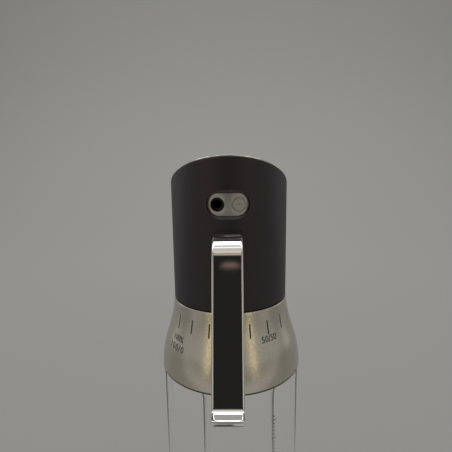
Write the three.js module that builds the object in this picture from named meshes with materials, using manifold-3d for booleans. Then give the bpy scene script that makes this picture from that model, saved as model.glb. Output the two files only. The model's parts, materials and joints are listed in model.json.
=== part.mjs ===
// Two-chamber oil and vinegar cruet: a clear bottle with an inner oil vessel, a flared steel dial that sets
// the ratio, and a black pouring head with a slanted steel top and a bent steel strap handle.
// Millimetres, +Z up, origin at the middle of the bottle's foot.
// The handle points along -Y, the spout along +Y.
import * as THREE from 'three';
import { mergeVertices } from 'three/addons/utils/BufferGeometryUtils.js';
import Module from 'manifold-3d';

const wasm = await Module();
wasm.setup();

// Clearances
const seatGap = 0.3;
const turnGap = 0.35;

// Bottle
const bottleRadius = 37;
const bottleWall = 3;
const bottleFloor = 6;
const footRound = 3;
const shoulderZ = 109.6;
const neckRadius = 33;
const neckWall = 2.7;
const neckHeight = 9;

// Inner oil vessel, set off to one side so that the vinegar has a way past it
const vesselRadius = 20.5;
const vesselWall = 2;
const vesselOffset = 4;
const vesselStandoff = 3;
const vesselFootRound = 3;

// Stopper that closes both vessels and carries the head
const stopperDisc = 6;
const flangeThickness = 3;
const flangeLip = 0.6;
const plugDepth = 9;
const plugWall = 2.4;
const socketDepth = 14;
const socketWall = 2.2;
const sealThickness = 2.2;
const sealBite = 1.5;
const columnRadius = 24.6;
const columnWall = 2.2;

// Dial collar: the steel skin's outer radius at heights below the seam with the head
const collarHeight = 38;
const collarSkin = 1;
const collarProfile = [[0, 30.3], [6, 31.0], [13, 32.5], [18, 34.0],
  [23, 35.6], [28, 36.8], [33, 37.6], [38, 37.85]];
const dialGap = 0.4;
const turnPerTick = 18;
const ticksToVinegar = 3;
const tickCount = 11;
const tickTop = 5.6;
const tickLength = 6.8;
const tickWidth = 0.6;
const tickDepth = 0.25;
const driveTabWidth = 4;
const driveTabHeight = 2.4;
const driveTabTurn = 130;
const slotReach = 12;

// Mixing valve inside the column
const rotorRadius = 12.5;
const rotorThickness = 3;
const rotorHubBore = 2.6;
const portRadius = 1.8;
const vinegarPortReach = 9;
const vinegarWayStart = 18.6;
const oilPortReach = 5.5;
const capThickness = 4;

// Head shell
const headRadius = 30.1;
const headTopRadius = 30.05;
const headInnerRadius = 26.4;
const headHeight = 73.2;
const slantDegrees = 26.5;
const shellGap = 0.4;

// Steel top plate and spout
const plateThickness = 0.6;
const plateMargin = 0.4;
const plugPlate = 2;
const spoutLength = 18;
const spoutWidth = 9.5;
const spoutRise = 5;
const spoutReach = 17;
const spoutFlange = 1.6;

// Vent window in the back of the head
const ventBelowTop = 21.6;
const recessLength = 21.5;
const recessHeight = 12.8;
const ventPlateLength = 19.6;
const ventPlateHeight = 10.3;
const ventPlateThickness = 0.8;
const recessDepth = 1.3;
const ventLedge = 1.2;
const ventPitch = 9.8;
const ventHoleRadius = 3.25;

// Strap handle: reaches are from the axis; the rise and the drops are from the height at which its centre
// line enters the head
const strapWidth = 12.3;
const strapThickness = 2.2;
const strapEdge = 0.55;
const strapBelowVent = 13.1;
const strapTabReach = 22.6;
const strapTabDrop = 14;
const strapKneeReach = 52.5;
const strapKneeRise = 2;
const strapHeelReach = 73.6;
const strapHeelDrop = 58.3;
const strapLipLength = 5.8;
const tabRound = 3.2;
const kneeRound = 10.2;
const heelRound = 3.4;

// Head frame, tubes and screws
const frameThickness = 3;
const frameBlockRise = 11.5;
const frameOpening = 15.5;
const frameBlockDepth = 6;
const tubeRadius = 2.4;
const tubeRise = 20;
const tubeBore = 1.6;
const airTubeRadius = 1.9;
const airTubeBore = 1.1;
const vinegarAirPlace = [-11.2, -16.4];
const oilAirPlace = [10, -13];
const screwShaft = 1.2;
const screwHead = 2.3;
const screwHeadHeight = 1.5;
const bossRadius = 2.6;
const bossReach = 20.6;
const ventBlockHeight = 10;
const blockMargin = 3;
const airTubeSeat = 4;

// Worked-out levels
const mouthZ = shoulderZ + neckHeight;
const flangeZ = mouthZ + seatGap;
const discTop = flangeZ + flangeThickness;
const discBottom = discTop - stopperDisc;
const collarBottom = shoulderZ + dialGap;
const seamZ = collarBottom + collarHeight;
const neckInner = neckRadius - neckWall;
const bottleInner = bottleRadius - bottleWall;
const columnInner = columnRadius - columnWall;
const columnTop = seamZ + 13;
const vesselBottom = bottleFloor + vesselStandoff;
const vesselTop = discBottom - seatGap;
const vesselInner = vesselRadius - vesselWall;
const rotorZ = discTop + turnGap;
const capZ = rotorZ + rotorThickness + turnGap;
const frameZ = columnTop + seatGap;
const shellBottom = seamZ + shellGap;
const slantTan = Math.tan(THREE.MathUtils.degToRad(slantDegrees));
const ventZ = seamZ + headHeight - ventBelowTop;
const strapRootZ = ventZ - strapBelowVent;
const strapKneeZ = strapRootZ + strapKneeRise;
const strapHeelZ = strapRootZ - strapHeelDrop;

// Materials
const finish = (color, roughness, metalness, extra = {}) =>
  new THREE.MeshStandardMaterial({ color, roughness, metalness, ...extra });
const clear = finish(0xdfe6e2, 0.05, 0, { transparent: true, opacity: 0.3 });
const matteBlack = finish(0x1b191a, 0.55, 0);
const satinSteel = finish(0xa8a496, 0.38, 1);
const brightSteel = finish(0xd2d4d6, 0.06, 1);
const paleSilicone = finish(0xb9b8a8, 0.6, 0);
const whitePlastic = finish(0xd8d6cf, 0.5, 0);

// Solids
function solid(geometry) {
  const bare = geometry.clone();
  bare.deleteAttribute('normal');
  bare.deleteAttribute('uv');
  const merged = mergeVertices(bare, 1e-5);
  return new wasm.Manifold(new wasm.Mesh({
    numProp: 3,
    vertProperties: new Float32Array(merged.attributes.position.array),
    triVerts: new Uint32Array(merged.index.array),
  }));
}

function geometryOf(body) {
  const mesh = body.getMesh();
  const geometry = new THREE.BufferGeometry();
  geometry.setAttribute('position', new THREE.BufferAttribute(new Float32Array(mesh.vertProperties), 3));
  geometry.setIndex(new THREE.BufferAttribute(new Uint32Array(mesh.triVerts), 1));
  return geometry;
}

// A turned body about Z; the profile is a closed list of [radius, z], anticlockwise.
function turned(profile, segments = 40) {
  const points = profile.map(([r, z]) => new THREE.Vector2(Math.max(r, 0), z));
  if (profile[0][0] > 0 || profile[profile.length - 1][0] > 0) points.push(points[0].clone());
  return solid(new THREE.LatheGeometry(points, segments).rotateX(Math.PI / 2));
}

const ring = (inner, outer, low, high, segments = 40) =>
  turned([[inner, low], [outer, low], [outer, high], [inner, high]], segments);
const disc = (radius, low, high, segments = 40) =>
  turned([[0, low], [radius, low], [radius, high], [0, high]], segments);
const rod = (x, y, radius, low, high, segments = 10) =>
  disc(radius, low, high, segments).translate([x, y, 0]);

function block(x0, x1, y0, y1, z0, z1) {
  const box = new THREE.BoxGeometry(x1 - x0, y1 - y0, z1 - z0);
  return solid(box.translate((x0 + x1) / 2, (y0 + y1) / 2, (z0 + z1) / 2));
}

// A round bore between any two points.
function boreBetween(from, to, radius, segments = 10) {
  const a = new THREE.Vector3(...from);
  const b = new THREE.Vector3(...to);
  const along = b.clone().sub(a);
  const geometry = new THREE.CylinderGeometry(radius, radius, along.length(), segments);
  const upright = new THREE.Vector3(0, 1, 0);
  geometry.applyQuaternion(new THREE.Quaternion().setFromUnitVectors(upright, along.normalize()));
  geometry.translate((a.x + b.x) / 2, (a.y + b.y) / 2, (a.z + b.z) / 2);
  return solid(geometry);
}

// The outline of a pill, length by height, about the origin.
function pillPoints(length, height, steps = 6) {
  const radius = height / 2;
  const half = length / 2 - radius;
  const points = [];
  for (const [centre, start] of [[half, -Math.PI / 2], [-half, Math.PI / 2]]) {
    for (let i = 0; i <= steps; i += 1) {
      const turn = start + (Math.PI * i) / steps;
      points.push([centre + radius * Math.cos(turn), radius * Math.sin(turn)]);
    }
  }
  return points;
}

// A pill that tapers from one outline to another between two distances from the axis,
// facing -Y, centred at height z.
function pillPlug(lengthOut, heightOut, reachOut, lengthIn, heightIn, reachIn, z) {
  const outer = pillPoints(lengthOut, heightOut);
  const inner = pillPoints(lengthIn, heightIn);
  const count = outer.length;
  const position = [];
  for (const [x, h] of outer) position.push(x, -reachOut, z + h);
  for (const [x, h] of inner) position.push(x, -reachIn, z + h);
  const index = [];
  for (let i = 0; i < count; i += 1) {
    const j = (i + 1) % count;
    index.push(i, i + count, j, j, i + count, j + count);
    if (i > 0 && i < count - 1) {
      index.push(0, i, i + 1);
      index.push(count, count + i + 1, count + i);
    }
  }
  const geometry = new THREE.BufferGeometry();
  geometry.setAttribute('position', new THREE.Float32BufferAttribute(position, 3));
  geometry.setIndex(index);
  return solid(geometry);
}

// An arc-shaped slot about Z, from one turn angle to another, in degrees.
function arcSlot(inner, outer, low, high, fromDegrees, toDegrees) {
  const a = THREE.MathUtils.degToRad(fromDegrees);
  const b = THREE.MathUtils.degToRad(toDegrees);
  const shape = new THREE.Shape();
  shape.absarc(0, 0, outer, a, b, false);
  shape.absarc(0, 0, inner, b, a, true);
  shape.closePath();
  const settings = { depth: high - low, bevelEnabled: false, curveSegments: 8 };
  const geometry = new THREE.ExtrudeGeometry(shape, settings);
  return solid(geometry.translate(0, 0, low));
}

const heightOfSlant = (y) => seamZ + headHeight - (y + headTopRadius) * slantTan;

// Everything above the head's slanted plane raised by lift, as one large body.
function aboveSlant(lift) {
  const span = headRadius * 4;
  const box = new THREE.BoxGeometry(span, span, span).translate(0, 0, span / 2);
  box.rotateX(-THREE.MathUtils.degToRad(slantDegrees));
  return solid(box.translate(0, 0, heightOfSlant(0) + lift));
}

// Rigid tube along a curve.
function tubeAlong(points, outer, bore, steps = 16, sides = 10) {
  const curve = new THREE.CatmullRomCurve3(points.map((p) => new THREE.Vector3(...p)), false, 'centripetal');
  const shape = new THREE.Shape();
  shape.absarc(0, 0, outer, 0, Math.PI * 2, false);
  const hole = new THREE.Path();
  hole.absarc(0, 0, bore, 0, Math.PI * 2, true);
  shape.holes.push(hole);
  const settings = { steps, curveSegments: sides, extrudePath: curve, bevelEnabled: false };
  return new THREE.ExtrudeGeometry(shape, settings);
}

const group = new THREE.Group();
function add(name, body, material) {
  const geometry = body.isBufferGeometry ? body : geometryOf(body);
  const mesh = new THREE.Mesh(geometry, material);
  mesh.name = name;
  group.add(mesh);
  return mesh;
}

// Bottle: thick foot, straight wall, a flat shoulder and a narrower neck that goes up inside the collar.
function makeBottle() {
  const profile = [[0, 0], [bottleRadius - footRound, 0], [bottleRadius - footRound * 0.3, footRound * 0.3],
    [bottleRadius, footRound], [bottleRadius, shoulderZ - 0.5], [bottleRadius - 0.5, shoulderZ],
    [neckRadius, shoulderZ], [neckRadius, mouthZ], [neckInner, mouthZ], [neckInner, shoulderZ],
    [bottleInner, shoulderZ - footRound], [bottleInner, bottleFloor + footRound],
    [bottleInner - footRound * 0.3, bottleFloor + footRound * 0.3], [bottleInner - footRound, bottleFloor],
    [0, bottleFloor]];
  add('bottle', turned(profile), clear);
}

// Inner vessel: a plain tumbler that hangs from the stopper's socket.
function makeVessel() {
  const inner = vesselInner;
  const floorTop = vesselBottom + vesselWall;
  const profile = [[0, vesselBottom], [vesselRadius - vesselFootRound, vesselBottom],
    [vesselRadius - vesselFootRound * 0.3, vesselBottom + vesselFootRound * 0.3],
    [vesselRadius, vesselBottom + vesselFootRound], [vesselRadius, vesselTop], [inner, vesselTop],
    [inner, floorTop + 2], [inner - 2, floorTop], [0, floorTop]];
  add('inner_vessel', turned(profile, 32).translate([vesselOffset, 0, 0]), clear);
}

const plugRadius = neckInner - seatGap;
const plugBottom = flangeZ - plugDepth;
const plugSealLow = plugBottom + 3;
const socketRadius = vesselInner - seatGap;
const socketBottom = discBottom - socketDepth;
const socketSealLow = socketBottom + 4;

// A rubber ring in a groove: its bore sits clear of the groove's floor and its outside clear of the wall.
function sealRing(radius, low) {
  const inner = radius - sealBite + seatGap;
  return ring(inner, radius, low + seatGap, low + sealThickness - seatGap, 32);
}

const boltBossPlaces = [[0, bossReach], [180, bossReach]];
const capPostPlaces = [[-36, 19.2], [-140, 19.2]];
const plugScrewPlaces = [[-130, 24.9], [130, 24.9]];
const placeAt = ([degrees, reach]) => [
  reach * Math.cos(THREE.MathUtils.degToRad(degrees)), reach * Math.sin(THREE.MathUtils.degToRad(degrees))];

// Stopper: plug, flange, socket for the inner vessel and the column that carries the head, moulded as one.
function makeStopper() {
  let plug = ring(plugRadius - plugWall, plugRadius, plugBottom, flangeZ)
    .add(disc(plugRadius, discBottom, flangeZ))
    .add(ring(socketRadius - socketWall, socketRadius, socketBottom, discBottom + 1, 32)
      .translate([vesselOffset, 0, 0]));
  let body = disc(neckRadius - flangeLip, flangeZ + seatGap, discTop)
    .add(ring(columnInner, columnRadius, discTop - 1, columnTop));
  for (const place of boltBossPlaces) {
    const [x, y] = placeAt(place);
    body = body.add(rod(x, y, bossRadius, columnTop - 12, columnTop));
  }
  for (const place of capPostPlaces) {
    const [x, y] = placeAt(place);
    body = body.add(rod(x, y, bossRadius, discTop - 1, capZ - seatGap));
  }
  plug = plug.subtract(ring(plugRadius - sealBite, plugRadius + 1, plugSealLow, plugSealLow + sealThickness));
  plug = plug.subtract(ring(socketRadius - sealBite, socketRadius + 1, socketSealLow,
    socketSealLow + sealThickness, 32).translate([vesselOffset, 0, 0]));
  // Arc slot for the dial's drive tab
  const middle = driveTabTurn - (turnPerTick * (tickCount - 1)) / 2 + turnPerTick * ticksToVinegar;
  const reach = (turnPerTick * (tickCount - 1)) / 2 + slotReach;
  body = body.subtract(
    arcSlot(columnInner - 1, columnRadius + 1, discTop + 0.1, capZ, middle - reach, middle + reach));
  // Oil way, slanted vinegar way, air ways and screw holes
  const ways = [rod(oilPortReach, 0, portRadius, discBottom - 2, discTop + 1),
    boreBetween([-vinegarWayStart, 0, discBottom - 0.6], [-vinegarPortReach, 0, discTop + 0.3], portRadius)];
  for (const [x, y] of [vinegarAirPlace, oilAirPlace]) {
    ways.push(rod(x, y, airTubeBore, discBottom - 1, discTop + 1));
    ways.push(rod(x, y, airTubeRadius + seatGap, discTop - 3, discTop + 1));
  }
  for (const way of ways) {
    plug = plug.subtract(way);
    body = body.subtract(way);
  }
  for (const place of boltBossPlaces) {
    const [x, y] = placeAt(place);
    body = body.subtract(rod(x, y, screwShaft + seatGap, columnTop - 10, columnTop + 1));
  }
  for (const place of capPostPlaces) {
    const [x, y] = placeAt(place);
    body = body.subtract(rod(x, y, screwShaft + seatGap, discTop - 3, capZ + 1));
  }
  body = body.subtract(rod(0, 0, screwShaft + seatGap, discTop - 4, discTop + 1));
  // Groove for the retaining ring
  body = body.subtract(ring(columnRadius - 1, columnRadius + 1, ringZ - 0.2, ringZ + ringThickness + 0.2));
  // Screws from below hold the plug to the flange
  plugScrewPlaces.forEach((place, i) => {
    const [x, y] = placeAt(place);
    const shaft = rod(x, y, screwShaft + seatGap, discBottom - 1, discTop - 0.8);
    body = body.subtract(shaft);
    plug = plug.subtract(shaft);
    add(`plug_screw_${i + 1}`, screw(0, 0, 0, discTop - discBottom - 1.2).rotate([180, 0, 0])
      .translate([x, y, discBottom - 0.05]), brightSteel);
  });
  add('stopper_column', body, matteBlack);
  add('stopper_plug', plug, matteBlack);
  add('bottle_seal', sealRing(plugRadius, plugSealLow), paleSilicone);
  add('vessel_seal', sealRing(socketRadius, socketSealLow).translate([vesselOffset, 0, 0]), paleSilicone);
}

const hubLow = discTop + turnGap;
const hubHigh = seamZ - 1.5;
const ringThickness = 1.2;
const ringZ = hubHigh + turnGap;

function collarRadiusAt(z) {
  const below = seamZ - z;
  const next = collarProfile.findIndex(([depth]) => depth >= below);
  const [d1, r1] = collarProfile[Math.max(next, 1)];
  const [d0, r0] = collarProfile[Math.max(next, 1) - 1];
  return r0 + ((r1 - r0) * (below - d0)) / (d1 - d0);
}

// Steel skin of the dial, with an inward lip under the head and a row of engraved ticks.
function makeCollar() {
  const outside = collarProfile.map(([depth, radius]) => [radius, seamZ - depth]).reverse();
  const inside = collarProfile.map(([depth, radius]) => [radius - collarSkin, seamZ - depth]).slice(1);
  const lip = [[columnRadius + 2.4, seamZ], [columnRadius + 2.4, seamZ - collarSkin],
    [collarProfile[0][1] - collarSkin, seamZ - collarSkin]];
  let body = turned([...outside, ...lip, ...inside]);
  for (let i = 0; i < tickCount; i += 1) {
    const turn = THREE.MathUtils.degToRad(-90 - turnPerTick * (ticksToVinegar - i));
    const low = seamZ - tickTop - tickLength;
    const high = seamZ - tickTop;
    const lean = Math.atan2(collarRadiusAt(low) - collarRadiusAt(high), tickLength);
    const cutter = new THREE.BoxGeometry(2, tickWidth, tickLength);
    cutter.translate(1 - tickDepth, 0, 0).rotateY(lean);
    cutter.translate((collarRadiusAt(low) + collarRadiusAt(high)) / 2, 0, (low + high) / 2).rotateZ(turn);
    body = body.subtract(solid(cutter));
  }
  add('dial_collar', body, satinSteel);
}

// Plastic hub inside the collar, with the tab that reaches through the column's slot.
function makeHub() {
  const gap = collarSkin + seatGap;
  const outer = [];
  for (let z = hubLow; z < hubHigh; z += 4) outer.push([collarRadiusAt(z) - gap, z]);
  outer.push([collarRadiusAt(hubHigh) - gap, hubHigh]);
  const bore = columnRadius + turnGap;
  let body = turned([[bore, hubLow], ...outer, [bore, hubHigh]]);
  // Hollow from below, leaving a rim, a bore wall and four ribs
  const pocketLow = hubLow + driveTabHeight + 3;
  let pocket = ring(bore + 2, collarRadiusAt(hubHigh) - gap - 1.4, pocketLow, hubHigh - 3);
  for (let i = 0; i < 4; i += 1) {
    const rib = new THREE.BoxGeometry(3 * headRadius, 2, 2 * headRadius).rotateZ((Math.PI * (i + 0.5)) / 4);
    pocket = pocket.subtract(solid(rib.translate(0, 0, pocketLow)));
  }
  body = body.subtract(pocket.translate([0, 0, 4]));
  const low = hubLow + 0.2;
  const tab = block(rotorRadius - 1.2, bore + 1, -driveTabWidth / 2, driveTabWidth / 2,
      low, low + driveTabHeight);
  body = body.add(tab.rotate([0, 0, driveTabTurn]));
  add('dial_hub', body, whitePlastic);
  // Rotor: turns with the tab in its notch, with one crescent for each liquid
  let rotor = disc(rotorRadius, rotorZ, rotorZ + rotorThickness, 32)
    .subtract(disc(rotorHubBore, rotorZ - 1, rotorZ + rotorThickness + 1, 12));
  const notch = block(rotorRadius - 1.2 - seatGap, rotorRadius + 2, -driveTabWidth / 2 - seatGap,
    driveTabWidth / 2 + seatGap, rotorZ - 1, rotorZ + rotorThickness + 1);
  rotor = rotor.subtract(notch.rotate([0, 0, driveTabTurn]));
  rotor = rotor.subtract(arcSlot(vinegarPortReach - portRadius, vinegarPortReach + portRadius, rotorZ - 1,
    rotorZ + rotorThickness + 1, 180 - 50, 180 + 80));
  rotor = rotor.subtract(arcSlot(oilPortReach - portRadius, oilPortReach + portRadius, rotorZ - 1,
    rotorZ + rotorThickness + 1, 20, 130));
  add('valve_rotor', rotor, whitePlastic);
  add('retaining_ring', ring(columnRadius - 0.7, columnRadius + 1.4, ringZ, ringZ + ringThickness)
    .subtract(block(-3, 3, 0, columnRadius + 5, ringZ - 1, ringZ + 3)), brightSteel);
}

// Valve cap over the rotor: sockets for the two pouring tubes and the two air tubes.
function makeCap() {
  const high = capZ + capThickness;
  let body = disc(columnInner - seatGap, capZ, high, 32);
  for (const x of [-vinegarPortReach, oilPortReach]) {
    body = body.subtract(rod(x, 0, portRadius, capZ - 1, high + 1));
    body = body.subtract(rod(x, 0, tubeRadius + seatGap, capZ + 1.2, high + 1));
  }
  for (const [x, y] of [vinegarAirPlace, oilAirPlace]) {
    body = body.subtract(rod(x, y, airTubeRadius + seatGap, capZ - 1, high + 1));
  }
  for (const place of [...capPostPlaces, [0, 0]]) {
    const [x, y] = placeAt(place);
    body = body.subtract(rod(x, y, screwShaft + seatGap, capZ - 1, high + 1));
  }
  add('valve_cap', body, whitePlastic);
}

// A pan-head screw with a slit, standing at (x, y), head up, its head resting at z.
function screw(x, y, z, length) {
  const slit = block(-1.4, 1.4, -0.3, 0.3, screwHeadHeight - 0.6, screwHeadHeight + 1);
  return turned([[0, -length], [screwShaft * 0.6, -length], [screwShaft, -length + 1], [screwShaft, 0],
    [screwHead, 0], [screwHead, screwHeadHeight * 0.55],
    [screwHead * 0.7, screwHeadHeight], [0, screwHeadHeight]], 10)
    .subtract(slit).translate([x, y, z]);
}

// Head frame: a plate on top of the column with an upright block for the handle's tab.
const frameTop = frameZ + frameThickness;
const tabFace = strapTabReach - strapThickness / 2;
const tabLow = strapRootZ - strapTabDrop;
const frameBlockTop = tabLow + frameBlockRise;
const handleScrewHeights = [tabLow + 3, tabLow + 8.5];
function makeFrame() {
  const inner = tabFace - seatGap - frameBlockDepth;
  let body = ring(frameOpening, headInnerRadius - seatGap, frameZ, frameTop)
    .add(block(-6.5, 6.5, -(tabFace - seatGap), -inner, frameZ, frameBlockTop));
  for (const [x, y] of [vinegarAirPlace, oilAirPlace]) {
    body = body.subtract(rod(x, y, airTubeRadius + 0.6, frameZ - 1, frameBlockTop + 2.5));
  }
  for (const place of boltBossPlaces) {
    const [x, y] = placeAt(place);
    body = body.subtract(rod(x, y, screwShaft + seatGap, frameZ - 1, frameTop + 1));
  }
  for (const z of handleScrewHeights) {
    body = body.subtract(boreBetween([0, -tabFace - 1, z], [0, -inner - 1.2, z], screwShaft + seatGap));
  }
  add('head_frame', body, matteBlack);
  boltBossPlaces.forEach((place, i) => {
    const [x, y] = placeAt(place);
    add(`frame_screw_${i + 1}`, screw(x, y, frameTop + 0.05, 9), brightSteel);
  });
  [...capPostPlaces, [0, 0]].forEach((place, i) => {
    const [x, y] = placeAt(place);
    add(`cap_screw_${i + 1}`, screw(x, y, capZ + capThickness + 0.05, 6.4), brightSteel);
  });
}

// Head shell: black matte tube, cut at a slant, with the vent window and the handle's slot.
function makeShell() {
  const taper = (headRadius - headTopRadius) / headHeight;
  const top = seamZ + headHeight + 5;
  let body = turned([[headInnerRadius, shellBottom], [headRadius - 0.4, shellBottom],
    [headRadius, shellBottom + 0.5],
    [headRadius - taper * (top - shellBottom), top], [headInnerRadius, top]], 48)
    .subtract(aboveSlant(0));
  body = body.subtract(pillPlug(recessLength + 0.6, recessHeight + 0.6, headRadius + 0.6, ventPlateLength,
    ventPlateHeight, plateFace, ventZ));
  const pocketLength = ventPlateLength + 2 * seatGap;
  const pocketHeight = ventPlateHeight + 2 * seatGap;
  const pocket = pillPlug(pocketLength, pocketHeight, plateFace + 0.05,
    pocketLength, pocketHeight, plateFace - 5, ventZ)
    .subtract(disc(
      plateFace - ventPlateThickness - seatGap, ventZ - ventPlateHeight, ventZ + ventPlateHeight, 48));
  body = body.subtract(pocket);
  body = body.subtract(pillPlug(ventPlateLength - ventLedge, ventPlateHeight - ventLedge, headRadius,
    ventPlateLength - ventLedge, ventPlateHeight - ventLedge, headInnerRadius - 4, ventZ));
  // The handle's arm comes through at its own slope
  const slope = -Math.atan2(strapKneeRise, strapKneeReach - strapTabReach);
  const slot = new THREE.BoxGeometry(strapWidth + 2 * seatGap, 8, strapThickness + 2 * seatGap)
    .translate(0, -6, 0);
  body = body.subtract(solid(slot.rotateX(slope).translate(0, -strapTabReach, strapRootZ)));
  add('head_shell', body, matteBlack);
}

// Vent plate with two holes, the silicone check valve in the oil hole, and the block of air ways behind.
const plateFace = headRadius - recessDepth;
function makeVents() {
  const back = plateFace - ventPlateThickness;
  const shellCut = disc(plateFace, ventZ - ventPlateHeight, ventZ + ventPlateHeight, 48)
    .subtract(disc(back, ventZ - ventPlateHeight, ventZ + ventPlateHeight, 48));
  let plate = pillPlug(ventPlateLength, ventPlateHeight, headRadius, ventPlateLength, ventPlateHeight,
    headInnerRadius - 4, ventZ).intersect(shellCut);
  for (const side of [-1, 1]) {
    const x = (side * ventPitch) / 2;
    plate = plate.subtract(boreBetween([x, -headRadius - 2, ventZ], [x, -headInnerRadius + 6, ventZ],
      ventHoleRadius, 20));
  }
  add('vent_plate', plate, satinSteel);

  const x = ventPitch / 2;
  const face = Math.sqrt(plateFace ** 2 - x ** 2);
  const valve = boreBetween([x, -face + 0.05, ventZ], [x, -face + 1.3, ventZ], ventHoleRadius - seatGap, 20)
    .add(boreBetween([x, -face + 1.3, ventZ], [x, -face + 3.6, ventZ], 1.3, 10))
    .subtract(block(x - 0.9, x + 0.9, -face - 1, -face + 0.35, ventZ - 0.12, ventZ + 0.12));
  add('oil_check_valve', valve, paleSilicone);

  const low = ventZ - ventBlockHeight / 2;
  const high = ventZ + ventBlockHeight / 2;
  const blockRadius = headInnerRadius - seatGap;
  let body = disc(blockRadius, low, high, 48).intersect(block(vinegarAirPlace[0] - blockMargin,
    oilAirPlace[0] + blockMargin, -headRadius, oilAirPlace[1] + blockMargin, low - 1, high + 1));
  for (const [place, side] of [[vinegarAirPlace, -1], [oilAirPlace, 1]]) {
    const [px, py] = place;
    const vx = (side * ventPitch) / 2;
    body = body.subtract(rod(px, py, airTubeRadius + seatGap, low - 1, low + airTubeSeat));
    body = body.subtract(rod(px, py, airTubeBore, low + airTubeSeat - 1, ventZ + 1));
    body = body.subtract(boreBetween([vx, -headRadius, ventZ], [vx, py - 0.4, ventZ], 2.2));
    body = body.subtract(boreBetween([vx, py, ventZ], [px, py, ventZ], airTubeBore));
  }
  add('vent_block', body, matteBlack);
  for (const [name, [px, py]] of [['vinegar_air_tube', vinegarAirPlace], ['oil_air_tube', oilAirPlace]]) {
    add(name, ring(airTubeBore, airTubeRadius, discTop - 2.6,
      low + airTubeSeat - 0.4, 10).translate([px, py, 0]), whitePlastic);
  }
}

// Steel top plate: a thin slanted disc that caps the shell, with a plug below it and the spout's opening.
const spoutTilt = -THREE.MathUtils.degToRad(slantDegrees);
function spoutFrame(geometry) {
  geometry.rotateX(spoutTilt);
  return geometry.translate(0, spoutReach, heightOfSlant(spoutReach));
}

function pillPrism(length, height, low, high) {
  const points = pillPoints(length, height).map(([x, y]) => new THREE.Vector2(x, y));
  const settings = { depth: high - low, bevelEnabled: false };
  const geometry = new THREE.ExtrudeGeometry(new THREE.Shape(points), settings);
  return geometry.translate(0, 0, low);
}

const spoutPitch = 4.2;
const socketReach = 3;
const spoutRoot = 4;
function makeTop() {
  const tall = seamZ + headHeight + 10;
  const cap = disc(headTopRadius - plateMargin, seamZ, tall, 48).subtract(aboveSlant(0.1 + plateThickness));
  const plug = disc(headInnerRadius - seatGap, seamZ, tall, 48);
  let body = cap.intersect(aboveSlant(0.1))
    .add(plug.intersect(aboveSlant(-plugPlate)).subtract(aboveSlant(0.4)));
  const opening = pillPrism(spoutLength + 2 * seatGap, spoutWidth + 2 * seatGap, -10, 10);
  body = body.subtract(solid(spoutFrame(opening)));
  add('top_plate', body, brightSteel);

  const below = -(plugPlate + seatGap) * Math.cos(spoutTilt);
  let spout = solid(spoutFrame(pillPrism(spoutLength, spoutWidth, below - spoutRoot, spoutRise)))
    .add(solid(spoutFrame(pillPrism(spoutLength + 3, spoutWidth + 3, below - spoutFlange, below))));
  for (const side of [-1, 1]) {
    const x = side * spoutPitch;
    const boreLength = 2 * (spoutRise + spoutRoot + plugPlate + 5);
    const bore = new THREE.CylinderGeometry(tubeBore + 0.6, tubeBore + 0.6, boreLength, 12)
      .rotateX(Math.PI / 2);
    const socket = new THREE.CylinderGeometry(tubeRadius + seatGap, tubeRadius + seatGap, 2 * spoutRoot, 12);
    socket.rotateX(Math.PI / 2).translate(x, 0, below - 2 * spoutRoot + socketReach);
    spout = spout.subtract(solid(spoutFrame(bore.translate(x, 0, 0)))).subtract(solid(spoutFrame(socket)));
  }
  add('pour_spout', spout, matteBlack);

  // Pouring tubes, from the valve cap up to the spout's sockets
  const end = new THREE.Vector3(0, 0, below - spoutRoot + socketReach - 0.5);
  const lead = new THREE.Vector3(0, 0, below - 12);
  for (const p of [end, lead]) {
    p.applyAxisAngle(new THREE.Vector3(1, 0, 0), spoutTilt)
      .add(new THREE.Vector3(0, spoutReach, heightOfSlant(spoutReach)));
  }
  for (const [name, startX, endX] of [['vinegar_tube', -vinegarPortReach, -spoutPitch],
    ['oil_tube', oilPortReach, spoutPitch]]) {
    const start = capZ + 1.5;
    const route = [[startX, 0, start], [startX, 0, start + tubeRise * 0.4], [startX, 0.5, start + tubeRise],
      [(startX + endX) / 2, lead.y * 0.55, (start + lead.z) / 2 + 10],
      [endX, lead.y, lead.z], [endX, end.y, end.z]];
    add(name, tubeAlong(route, tubeRadius, tubeBore, 11, 4), clear);
  }
}

// Strap handle, bent from one flat bar: a tab inside the head, out through the slot,
// down and out to a small lip.
function roundedPath(corners, rounds) {
  const path = [corners[0].clone()];
  for (let i = 1; i < corners.length - 1; i += 1) {
    const back = corners[i - 1].clone().sub(corners[i]).normalize();
    const on = corners[i + 1].clone().sub(corners[i]).normalize();
    const half = Math.acos(THREE.MathUtils.clamp(back.dot(on), -1, 1)) / 2;
    const reach = rounds[i - 1] / Math.tan(half);
    const centre = back.clone().add(on).normalize()
      .multiplyScalar(rounds[i - 1] / Math.sin(half)).add(corners[i]);
    const from = corners[i].clone().addScaledVector(back, reach).sub(centre);
    const to = corners[i].clone().addScaledVector(on, reach).sub(centre);
    const sweep = Math.atan2(from.cross(to), from.dot(to));
    const steps = Math.max(3, Math.round(Math.abs(sweep) / 0.2));
    for (let k = 0; k <= steps; k += 1) {
      path.push(from.clone().rotateAround(new THREE.Vector2(), (sweep * k) / steps).add(centre));
    }
  }
  path.push(corners[corners.length - 1].clone());
  return path;
}

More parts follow.
